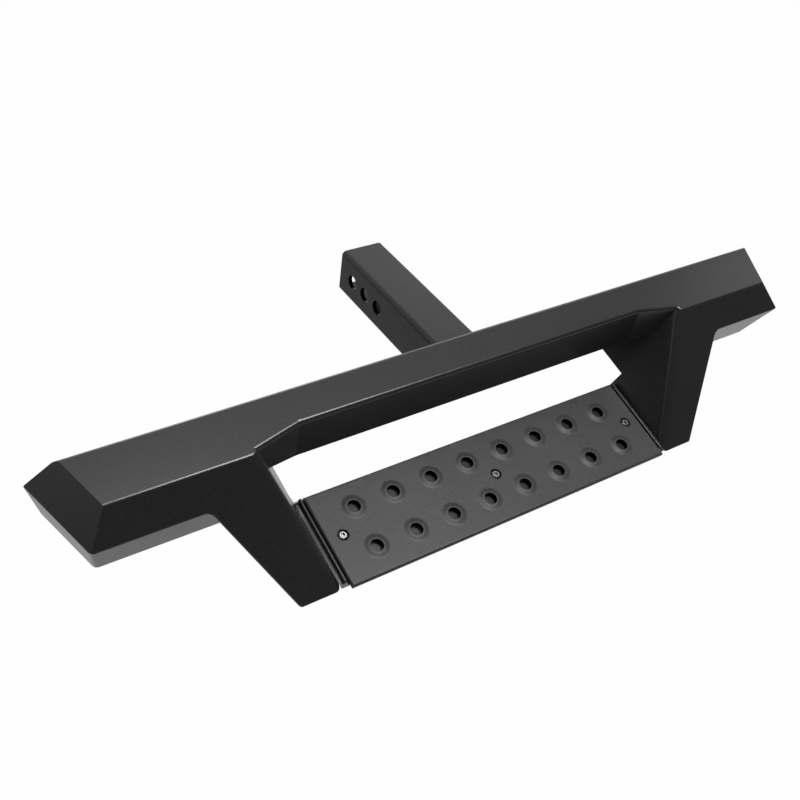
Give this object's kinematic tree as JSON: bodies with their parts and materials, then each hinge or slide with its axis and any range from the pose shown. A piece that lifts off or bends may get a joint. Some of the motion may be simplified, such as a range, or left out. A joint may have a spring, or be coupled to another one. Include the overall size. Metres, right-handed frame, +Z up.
{
  "type": "hitch receiver step",
  "caption": "Black powder-coated drop step for a two inch towing receiver: a faceted sheet steel beam on a square shank, with splayed legs carrying a punched tread plate.",
  "frame": {"origin": "centre of the outermost hitch pin bore, on the centre line of the square shank", "axes": "+X across the vehicle along the beam, +Y forward into the receiver along the shank, +Z up"},
  "size_m": [0.8624, 0.3289, 0.1463],
  "materials": {
    "beam_coat": "textured black powder coat",
    "pad_coat": "textured black powder coat, a little greyer",
    "tray_coat": "textured black powder coat",
    "shank_coat": "textured black powder coat",
    "screw_steel": "stainless button head screws",
    "nut_steel": "zinc plated flange nuts"
  },
  "bodies": {
    "root": {"beam_shell": "beam_coat", "end_cap_left": "beam_coat", "end_cap_right": "beam_coat", "floor_plate_left": "beam_coat", "floor_plate_right": "beam_coat", "leg_foot_left": "beam_coat", "leg_foot_right": "beam_coat", "leg_left": "beam_coat", "leg_right": "beam_coat", "middle_floor_plate": "beam_coat", "pad_nut_left": "nut_steel", "pad_nut_middle": "nut_steel", "pad_nut_right": "nut_steel", "pad_screw_left": "screw_steel", "pad_screw_middle": "screw_steel", "pad_screw_right": "screw_steel", "receiver_tube": "shank_coat", "step_pad": "pad_coat", "step_tray": "tray_coat", "tray_rib": "tray_coat", "tube_rib_left": "beam_coat", "tube_rib_right": "beam_coat", "tube_weld": "shank_coat", "web_plate": "beam_coat"}
  },
  "joints": []
}
